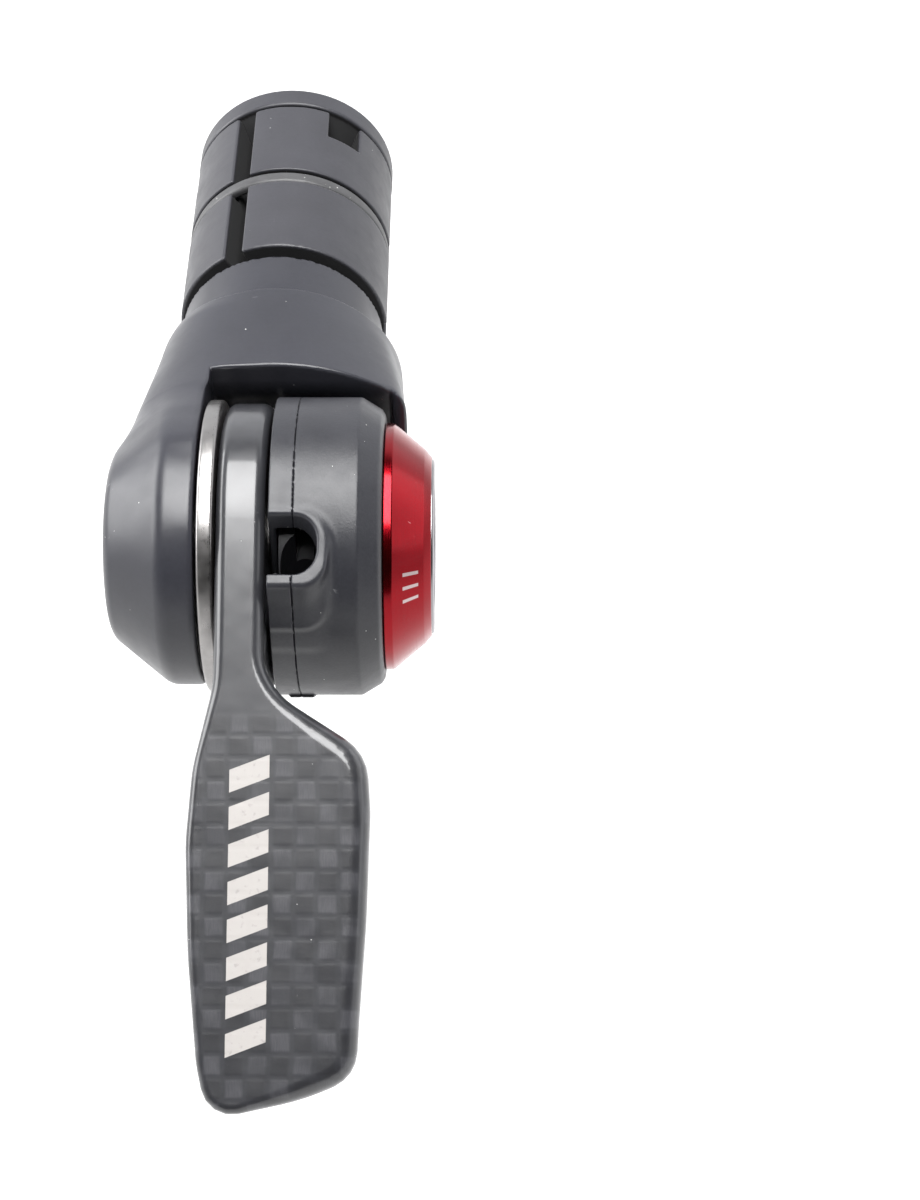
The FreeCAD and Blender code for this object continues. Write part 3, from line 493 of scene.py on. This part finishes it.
def segment_field(middle):
    cosine, sine = math.cos(math.radians(middle)), math.sin(math.radians(middle))

    def field(p):
        x, y, z = p
        out, side = x * cosine + z * sine, z * cosine - x * sine
        profile = rounded_polygon(y, np.hypot(x, z), SEGMENT_PROFILE, 0.17)
        edges = np.abs(side) * math.cos(SEGMENT_HALF_ANGLE) - out * math.sin(SEGMENT_HALF_ANGLE)
        body = both(profile, edges, 0.2)
        window = np.maximum(np.maximum(np.abs(side) - 1.75, 26.3 - y), 4 - out)
        return cut_away(body, window, 0.3)
    return field


def wedge_field(p):
    x, y, z = p
    body = rounded_polygon(y, np.hypot(x, z), WEDGE_PROFILE, 0.28)
    for middle in SEGMENT_MIDDLES:
        cosine, sine = math.cos(math.radians(middle)), math.sin(math.radians(middle))
        out, side = x * cosine + z * sine, z * cosine - x * sine
        key = np.maximum(np.maximum(np.abs(side) - 0.75, between(out, 5, 7.7)), between(y, 27.2, 31))
        body = smooth_min(body, key, 0.2)
    body = cut_away(body, rod_y(p, 10, 27.12, 3.62), 0.15)             # the nut
    body = cut_away(body, rod_y(p, 10, 28.8, 2.6), 0.1)                # the bolt's end
    body = cut_away(body, rod_y(p, 10, 40, 0.9, *CABLE_HOLE), 0.1)
    return cut_away(body, rod_y(p, 29.5, 40, 2.55, *CABLE_HOLE), 0.2)  # the cable stop


# ------------------------------------------------------------------ materials

class Paint:
    """A Principled material whose textures are measured in millimetres."""

    def __init__(self, name, colour, roughness, metallic=0.0, **sockets):
        self.material = bpy.data.materials.new(name)
        self.material.use_nodes = True
        self.tree = self.material.node_tree
        self.surface = self.tree.nodes["Principled BSDF"]
        self.colour = self.rgb(colour)
        self.roughness = roughness
        self.height = None
        self.surface.inputs["Metallic"].default_value = metallic
        for socket, value in sockets.items():
            self.surface.inputs[socket.replace("_", " ")].default_value = value
        place = self.tree.nodes.new("ShaderNodeTexCoord").outputs["Object"]
        self.place = self.math_vector("SCALE", place, 1 / MM)

    def rgb(self, colour):
        return (*colour, 1.0) if len(colour) == 3 else colour

    def feed(self, socket, value):
        if hasattr(value, "is_linked"):
            self.tree.links.new(value, socket)
        else:
            socket.default_value = value

    def node(self, kind, inputs, output=0, **settings):
        node = self.tree.nodes.new("ShaderNode" + kind)
        for key, value in settings.items():
            setattr(node, key, value)
        for key, value in inputs.items():
            self.feed(node.inputs[key], value)
        return node.outputs[output]

    def math(self, operation, a, b=0.0):
        return self.node("Math", {0: a, 1: b}, operation=operation)

    def times(self, first, *others):
        for other in others:
            first = self.math("MULTIPLY", first, other)
        return first

    def off_centre(self, value, middle):
        """How far a value is from the middle, either way."""
        return self.math("ABSOLUTE", self.math("SUBTRACT", value, middle))

    def math_vector(self, operation, a, b):
        if operation == "SCALE":
            return self.node("VectorMath", {0: a, "Scale": b}, operation=operation)
        return self.node("VectorMath", {0: a, 1: b}, operation=operation)

    def noise(self, scale, detail=3.0, rough=0.55, place=None, stretch=None, offset=None):
        place = place or self.place
        if stretch:
            place = self.math_vector("MULTIPLY", place, stretch)
        if offset:
            place = self.math_vector("ADD", place, offset)
        return self.node("TexNoise", {"Vector": place, "Scale": scale, "Detail": detail,
                                      "Roughness": rough})

    def ramp(self, value, low, high, start=0.0, end=1.0, kind="SMOOTHSTEP"):
        """Maps low..high onto start..end."""
        return self.node("MapRange", {"Value": value, "From Min": low, "From Max": high,
                                      "To Min": start, "To Max": end},
                         interpolation_type=kind)

    def mix(self, share, a, b, blend="MIX"):
        node = self.tree.nodes.new("ShaderNodeMix")
        node.data_type, node.blend_type = "RGBA", blend
        for key, value in ((0, share), (6, a), (7, b)):
            if isinstance(value, tuple) and len(value) == 3:
                value = self.rgb(value)
            self.feed(node.inputs[key], value)
        return node.outputs[2]

    def tint(self, share, colour):
        self.colour = self.mix(share, self.colour, colour)
        return self

    def mottle(self, scale, amount, detail=4.0):
        """Light and dark patches of the base colour."""
        value = self.ramp(self.noise(scale, detail), 0.3, 0.7, 1 - amount, 1 + amount, "LINEAR")
        grey = self.node("CombineColor", {"Red": value, "Green": value, "Blue": value})
        self.colour = self.mix(1.0, self.colour, grey, "MULTIPLY")
        return self

    def smudge(self, scale, amount, detail=4.0):
        """Patches that are rougher or smoother than the rest."""
        patches = self.ramp(self.noise(scale, detail, offset=(7.0, 3.0, 5.0)), 0.3, 0.7,
                            -amount, amount, "LINEAR")
        self.roughness = self.math("ADD", self.roughness, patches)
        return self

    def grain(self, scale, depth, detail=2.0, **noise):
        """A bump of this depth in millimetres."""
        rise = self.math("MULTIPLY", self.noise(scale, detail, **noise), depth)
        return self.raise_by(rise)

    def raise_by(self, rise):
        self.height = rise if self.height is None else self.math("ADD", self.height, rise)
        return self

    def dust(self, colour, scale=0.9, size=0.07, share=0.25):
        """Small specks, in a share of the cells of a scattered pattern."""
        cell = self.node("TexVoronoi", {"Vector": self.place, "Scale": scale}).node
        split = self.node("SeparateColor", {"Color": cell.outputs["Color"]})
        chosen = self.math("LESS_THAN", split, share)
        reach = self.math("MULTIPLY", self.noise(2.3, 1.0), size * scale * 2)
        spot = self.math("LESS_THAN", cell.outputs["Distance"], reach)
        share = self.times(chosen, spot, 0.75)
        self.roughness = self.math("ADD", self.roughness, self.times(share, 0.4))
        return self.tint(share, colour)

    def scratches(self, colour, stretch, scale=1.0, share=0.6, low=0.71, high=0.76):
        """Thin broken lines along the axis that is stretched least."""
        line = self.ramp(self.noise(scale, 4.0, 0.6, stretch=stretch), low, high)
        broken = self.ramp(self.noise(0.22, 2.0, offset=(3.0, 9.0, 1.0)), 0.5, 0.62)
        return self.tint(self.times(line, broken, share), colour)

    def axes(self):
        """X, Y and Z of the point, in millimetres."""
        return self.node("SeparateXYZ", {0: self.place}).node.outputs

    def radius_about(self, axis):
        """The distance from the pivot's axis, which is X, or the bar's, Y, and the place along it."""
        x, y, z = self.axes()
        across, along = (self.math("SUBTRACT", y, PIVOT_Y), x) if axis == "X" else (x, y)
        square = self.math("ADD", self.times(across, across), self.times(z, z))
        return self.math("SQRT", square), along

    def turning_marks(self, per_mm, depth, axis="X"):
        """Fine rings left by a lathe, about the pivot's axis or the bar's."""
        radius, along = self.radius_about(axis)
        place = self.node("CombineXYZ", {0: radius, 1: along})
        rings = self.noise(per_mm, 3.0, 0.7, place=place)
        self.raise_by(self.math("MULTIPLY", rings, depth))
        spread = self.ramp(rings, 0.3, 0.7, -0.05, 0.05, "LINEAR")
        self.roughness = self.math("ADD", self.roughness, spread)
        return self

    def done(self):
        self.feed(self.surface.inputs["Base Color"], self.colour)
        self.feed(self.surface.inputs["Roughness"], self.roughness)
        if self.height is not None:
            bump = self.node("Bump", {"Height": self.height, "Distance": MM, "Strength": 1.0})
            self.feed(self.surface.inputs["Normal"], bump)
        return self.material


DUST = (0.62, 0.62, 0.60)
SCUFF = (0.30, 0.30, 0.31)

housing_paint = (Paint("housing_satin_black", (0.024, 0.0245, 0.031), 0.34, IOR=1.5)
                 .mottle(0.12, 0.10).mottle(2.5, 0.06).smudge(0.3, 0.06)
                 .grain(5.0, 0.0022).grain(0.5, 0.01)
                 .scratches(SCUFF, (1.0, 9.0, 1.0), 0.35, 0.5)
                 .dust(DUST, 0.9, 0.05, 0.22).done())

def painted_shade_inside(paint, low, high):
    """Painted shade deep in the gaps and grooves, near black, and rougher there: none beyond radius high, and all
    of it below low.
    """
    radius, along = paint.radius_about("Y")
    shade_depth = paint.times(paint.ramp(radius, low, high, 1.0, 0.0), paint.ramp(along, 7.0, 7.6))
    # painted shade: near-black colour where the surface lies below the outer radius
    paint.tint(paint.times(shade_depth, 0.93), (0.002, 0.002, 0.002))
    paint.roughness = paint.math("MAXIMUM", paint.roughness, paint.times(shade_depth, 0.95))
    return paint


# the expander's gaps and grooves carry painted shade
expander_paint = painted_shade_inside(Paint("expander_matte_black", (0.030, 0.030, 0.036), 0.43, IOR=1.5)
                  .mottle(0.2, 0.10).mottle(3.0, 0.06).smudge(0.4, 0.06)
                  .grain(6.0, 0.002).turning_marks(9.0, 0.002, "Y")
                  .scratches(SCUFF, (9.0, 1.0, 9.0), 0.3, 0.45)
                  .dust(DUST, 1.0, 0.05, 0.2), 9.6, 9.9).done()
cover_paint = (Paint("cover_moulded_black", (0.021, 0.0215, 0.026), 0.38, IOR=1.46)
               .mottle(0.25, 0.08).mottle(4.0, 0.10).smudge(0.5, 0.05)
               .grain(4.5, 0.012, 3.0)
               .scratches(SCUFF, (1.0, 7.0, 1.0), 0.4, 0.3)
               .dust(DUST, 1.1, 0.05, 0.25).done())
steel_paint = (Paint("turned_steel", (0.3, 0.29, 0.285), 0.33, 1.0)
               .mottle(0.8, 0.08).turning_marks(14.0, 0.001).smudge(1.2, 0.06)
               .done())
bolt_paint = (Paint("bolt_steel", (0.58, 0.58, 0.57), 0.28, 1.0)
              .mottle(0.8, 0.08).turning_marks(14.0, 0.003, "Y").smudge(1.2, 0.06).done())
spring_paint = (Paint("spring_wire", (0.36, 0.36, 0.37), 0.35, 1.0)
                .mottle(2.0, 0.12).grain(9.0, 0.002).done())
disc_paint = (Paint("polished_alloy", (0.3, 0.29, 0.3), 0.3, 1.0)
              .mottle(0.5, 0.05).turning_marks(10.0, 0.003).done())


def cap_marks(paint):
    """Three short pale ticks on the cap's slope, in place of lettering."""
    start, pitch, count = 13.0, 7.0, 3          # in degrees above the level, as seen from the front
    middle, half = start + pitch * count / 2, pitch * count / 2 - 0.3
    x, y, z = paint.axes()
    angle = paint.times(paint.math("ARCTAN2", z, paint.math("SUBTRACT", PIVOT_Y, y)), 180 / math.pi)
    step = paint.math("FRACT", paint.math("DIVIDE", paint.math("SUBTRACT", angle, start), pitch))
    tick = paint.ramp(paint.off_centre(step, 0.5), 0.11, 0.15, 1.0, 0.0)
    row = paint.ramp(paint.off_centre(angle, middle), half, half + 0.2, 1.0, 0.0)
    length = paint.ramp(paint.off_centre(x, 13.0), 0.62, 0.68, 1.0, 0.0)
    return paint.tint(paint.times(tick, row, length, 0.85), (0.5, 0.44, 0.44))


red_paint = cap_marks(
    Paint("red_anodised", (0.24, 0.003, 0.008), 0.22, 1.0,
          Coat_Weight=0.22, Coat_Roughness=0.12)
    .mottle(0.3, 0.06).turning_marks(8.0, 0.0035).smudge(0.6, 0.04)
    .scratches((0.75, 0.35, 0.36), (2.0, 9.0, 1.0), 0.6, 0.5)).done()
rubber_paint = (Paint("o_ring_rubber", (0.05, 0.05, 0.052), 0.45)
                .mottle(1.0, 0.15).grain(6.0, 0.006).dust(DUST, 1.6, 0.06, 0.3).done())
spool_paint = (Paint("spool_acetal", (0.009, 0.009, 0.011), 0.5)
               .mottle(0.8, 0.12).grain(7.0, 0.003).done())


def down_the_blade(paint):
    """X, the distance down the blade's slope and the height above it, in millimetres."""
    across, ahead, up = paint.axes()
    ahead = paint.math("SUBTRACT", ahead, PIVOT_Y + BLADE_START[0])
    up = paint.math("SUBTRACT", up, BLADE_START[1])
    cosine, sine = math.cos(BLADE_SLOPE), math.sin(BLADE_SLOPE)
    along = paint.math("SUBTRACT", paint.times(ahead, -cosine), paint.times(up, sine))
    above = paint.math("SUBTRACT", paint.times(up, cosine), paint.times(ahead, sine))
    return across, along, above


def weave(paint, size=1.85):
    """A plain weave of tows: every other cell runs the other way, and is tinted darker."""
    across, along, _ = down_the_blade(paint)
    wobble = paint.times(paint.math("SUBTRACT", paint.noise(0.35, 1.0), 0.5), 0.5)
    across = paint.math("ADD", across, wobble)
    cells = [paint.math("DIVIDE", value, size) for value in (across, along)]
    whole = [paint.math("FLOOR", value) for value in cells]
    parts = [paint.math("FRACT", value) for value in cells]
    odd = paint.math("MODULO", paint.math("ADD", paint.math("ADD", *whole), 100.0), 2.0)
    rims = [paint.math("MINIMUM", part, paint.math("SUBTRACT", 1.0, part)) for part in parts]
    inside = paint.times(*[paint.ramp(rim, 0.03, 0.2) for rim in rims])
    lying, standing = paint.times(odd, inside), paint.times(paint.math("SUBTRACT", 1.0, odd), inside)
    stretched = paint.node("CombineXYZ", {0: paint.times(across, 9.0), 1: along})
    threads = paint.ramp(paint.noise(1.0, 3.0, place=stretched), 0.3, 0.7, 0.55, 1.0)
    patches = paint.ramp(paint.noise(0.3, 2.0), 0.38, 0.6, 0.3, 1.0)
    on_face = paint.ramp(along, 0.5, 3.5)
    paint.tint(paint.times(standing, threads, patches, on_face), (0.052, 0.052, 0.058))
    paint.tint(paint.times(lying, 0.5, on_face), (0.016, 0.016, 0.018))
    return paint.raise_by(paint.times(inside, on_face, 0.007))


def blade_marks(paint):
    """Plain slanted bars printed down the middle of the blade's upper face."""
    start, pitch, lean = 5.35, 3.06, 0.38
    across, along, above = down_the_blade(paint)
    slanted = paint.math("ADD", along, paint.times(across, lean))
    step = paint.math("FRACT", paint.math("DIVIDE", paint.math("SUBTRACT", slanted, start), pitch))
    bar = paint.ramp(paint.off_centre(step, 0.5), 0.30, 0.315, 1.0, 0.0)
    width = paint.ramp(paint.off_centre(across, -0.05), 1.62, 1.67, 1.0, 0.0)
    row = paint.ramp(paint.off_centre(slanted, 17.6), 12.2, 12.25, 1.0, 0.0)
    worn = paint.ramp(paint.noise(1.6, 4.0, 0.6), 0.3, 0.42, 0.8, 1.0)
    mask = paint.times(bar, width, row, worn, paint.ramp(above, -0.5, -0.4))
    paint.roughness = paint.math("ADD", paint.roughness, paint.times(mask, 0.15))
    return paint.tint(mask, (0.37, 0.35, 0.335))


carbon_paint = blade_marks(weave(
    Paint("woven_carbon", (0.024, 0.0245, 0.028), 0.34, Coat_Weight=0.6, Coat_Roughness=0.1)
    .mottle(0.5, 0.15).smudge(0.4, 0.05).grain(3.0, 0.002).grain(0.4, 0.05, 1.0)
    .scratches(DUST, (9.0, 2.0, 2.0), 0.3, 0.35).dust(DUST, 0.8, 0.05, 0.2))).done()

SLOT_PAINT = {
    "housing_black": housing_paint, "expander_black": expander_paint,
    "moulded_black": cover_paint, "spool_black": spool_paint,
    "carbon_gloss": carbon_paint, "bright_steel": steel_paint,
    "spring_steel": spring_paint, "polished_alloy": disc_paint,
    "red_anodised": red_paint, "rubber_black": rubber_paint,
}
for entry in frame["record"]["subparts"]:
    node = NODES[entry["node"]]
    node.data.materials.clear()
    node.data.materials.append(SLOT_PAINT[entry["material_slot"]])


# ------------------------------------------------------------------ pieces

def room(name, spare=0.6):
    """The box of a CAD node with some room round it, in millimetres."""
    low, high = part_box(name)
    return np.array(low) / MM - spare, np.array(high) / MM + spare


FINE = 1.0


def make(name, node, field, step, body, slot_name):
    """A piece in place of one CAD node, on that node's body."""
    piece = surface(name, field, *room(node), step * FINE)
    return settle(piece, node, body, slot_name)


def settle(piece, node, body, slot_name):
    piece.data.materials.append(SLOT_PAINT[slot_name])
    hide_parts(node)
    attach(piece, body)
    return piece


make("housing_shell", "housing", housing_field, 0.26, "housing", "housing_black")
make("lever_carbon", "lever", lever_field, 0.22, "lever", "carbon_gloss")
make("cover_inner_shell", "spool_cover_inner", cover_inner_field, 0.2, "housing", "moulded_black")
make("cover_outer_shell", "spool_cover_outer", cover_outer_field, 0.2, "housing", "moulded_black")
for number, middle in enumerate(SEGMENT_MIDDLES, start=1):
    make(f"segment_shell_{number}", f"expander_segment_{number}", segment_field(middle), 0.2,
         f"expander_segment_{number}", "expander_black")
make("wedge_shell", "rear_wedge", wedge_field, 0.2, "rear_wedge", "expander_black")
settle(turned("thrust_plate_ring", [
    (-4.9, 5.0, 0.1), (-4.9, 12.92, 0.3), (-3.5, 12.92, 0.3), (-3.5, 5.0, 0.1)]),
       "thrust_plate", "housing", "bright_steel")
settle(turned("red_cap_shell", [
    (10.66, 3.2, 0), (10.66, 10.93, 0.12), (11.42, 10.86, 0.25), (14.1, 8.62, 0.9), (14.73, 7.9, 0.25),
    (14.73, 7.75, 0), (13.6, 7.75, 0), (13.6, 5.2, 0), (12.3, 5.2, 0), (12.3, 3.2, 0)]),
       "red_cap", "housing", "red_anodised")
settle(turned("o_ring_band", [
    (17.78, 9.0, 0.3), (17.78, 9.93, 0.38), (19.32, 9.93, 0.38), (19.32, 9.0, 0.3)], about="Y"),
       "o_ring", "housing", "rubber_black")
settle(turned("cap_disc_ring", [
    (13.65, 5.3, 0.05), (13.65, 7.7, 0.05), (14.95, 7.7, 0.22), (14.95, 5.5, 0.15), (14.7, 5.3, 0.1)]),
       "cap_disc", "housing", "polished_alloy")


# ------------------------------------------------------------------ stage, lights, camera

def look_from(place, forward, up):
    forward, up = Vector(forward).normalized(), Vector(up)
    right = forward.cross(up).normalized()
    up = right.cross(forward)
    turn = Matrix((right, up, -forward)).transposed().to_4x4()
    return Matrix.Translation(Vector(place)) @ turn


def area_light(name, place, target, width, height, power):
    lamp = bpy.data.lights.new(name, "AREA")
    lamp.shape, lamp.size, lamp.size_y = "RECTANGLE", width, height
    lamp.energy = power
    light = bpy.data.objects.new(name, lamp)
    light.matrix_world = look_from(place, Vector(target) - Vector(place), (0, 1, 0.01))
    bpy.context.scene.collection.objects.link(light)


FLOOR_HALF, FLOOR_Z = 10.0 / MM, -0.075 / MM


def make_stage():
    signs = ((-1, -1), (1, -1), (1, 1), (-1, 1))
    corners = [(x * FLOOR_HALF, y * FLOOR_HALF, FLOOR_Z) for x, y in signs]
    floor = mesh_object("studio_floor", corners, [(0, 1, 2, 3)])
    paint = Paint("studio_white", (0.28, 0.28, 0.28), 0.9)
    paint.surface.inputs["Emission Color"].default_value = (1, 1, 1, 1)
    paint.surface.inputs["Emission Strength"].default_value = 0.85
    floor.data.materials.append(paint.done())
    make_sky()
    bpy.context.scene.view_settings.view_transform = "Standard"
    area_light("overhead_box", (0.0, -0.03, 0.55), (0, -0.03, 0), 0.42, 0.5, 8.5)
    area_light("left_box", (-0.55, 0.1, 0.22), (0, -0.02, 0), 0.3, 0.6, 4.0)
    area_light("right_box", (0.55, 0.1, 0.22), (0, -0.02, 0), 0.3, 0.6, 0.6)


def make_sky():
    """A white horizon, as of a paper sweep, under a dark room."""
    world = bpy.data.worlds.new("studio")
    bpy.context.scene.world = world
    world.use_nodes = True
    nodes, links = world.node_tree.nodes, world.node_tree.links
    place = nodes.new("ShaderNodeTexCoord").outputs["Generated"]
    split = nodes.new("ShaderNodeSeparateXYZ")
    tilt = nodes.new("ShaderNodeMath")
    tilt.operation, tilt.inputs[1].default_value = "MULTIPLY_ADD", -0.5
    shade = nodes.new("ShaderNodeMapRange")
    shade.interpolation_type = "SMOOTHSTEP"
    for socket, value in (("From Min", 0.1), ("From Max", 0.5), ("To Min", 1.25), ("To Max", 0.04)):
        shade.inputs[socket].default_value = value
    links.new(place, split.inputs[0])
    links.new(split.outputs[1], tilt.inputs[0])
    links.new(split.outputs[2], tilt.inputs[2])
    links.new(tilt.outputs[0], shade.inputs["Value"])
    background = nodes["Background"]
    background.inputs["Color"].default_value = (0.96, 0.97, 1.0, 1)
    links.new(shade.outputs[0], background.inputs["Strength"])


def make_camera():
    pitch, yaw, roll = math.radians(45.793), math.radians(0.257), math.radians(-0.102)
    level, down = math.cos(pitch), math.sin(pitch)
    right = Vector((math.cos(yaw), math.sin(yaw), 0))
    forward = Vector((-math.sin(yaw) * level, math.cos(yaw) * level, -down))
    up = right.cross(forward)
    cosine, sine = math.cos(roll), math.sin(roll)
    right, up = right * cosine + up * sine, up * cosine - right * sine
    data = bpy.data.cameras.new("photo_camera")
    data.sensor_width, data.lens = 36.0, 74.30
    data.clip_start, data.clip_end = 0.01, 20.0
    camera = bpy.data.objects.new("photo_camera", data)
    turn = Matrix((right, up, -forward)).transposed().to_4x4()
    camera.matrix_world = Matrix.Translation((0.01788, -0.1793, 0.15408)) @ turn
    bpy.context.scene.collection.objects.link(camera)
    bpy.context.scene.camera = camera


make_stage()
make_camera()
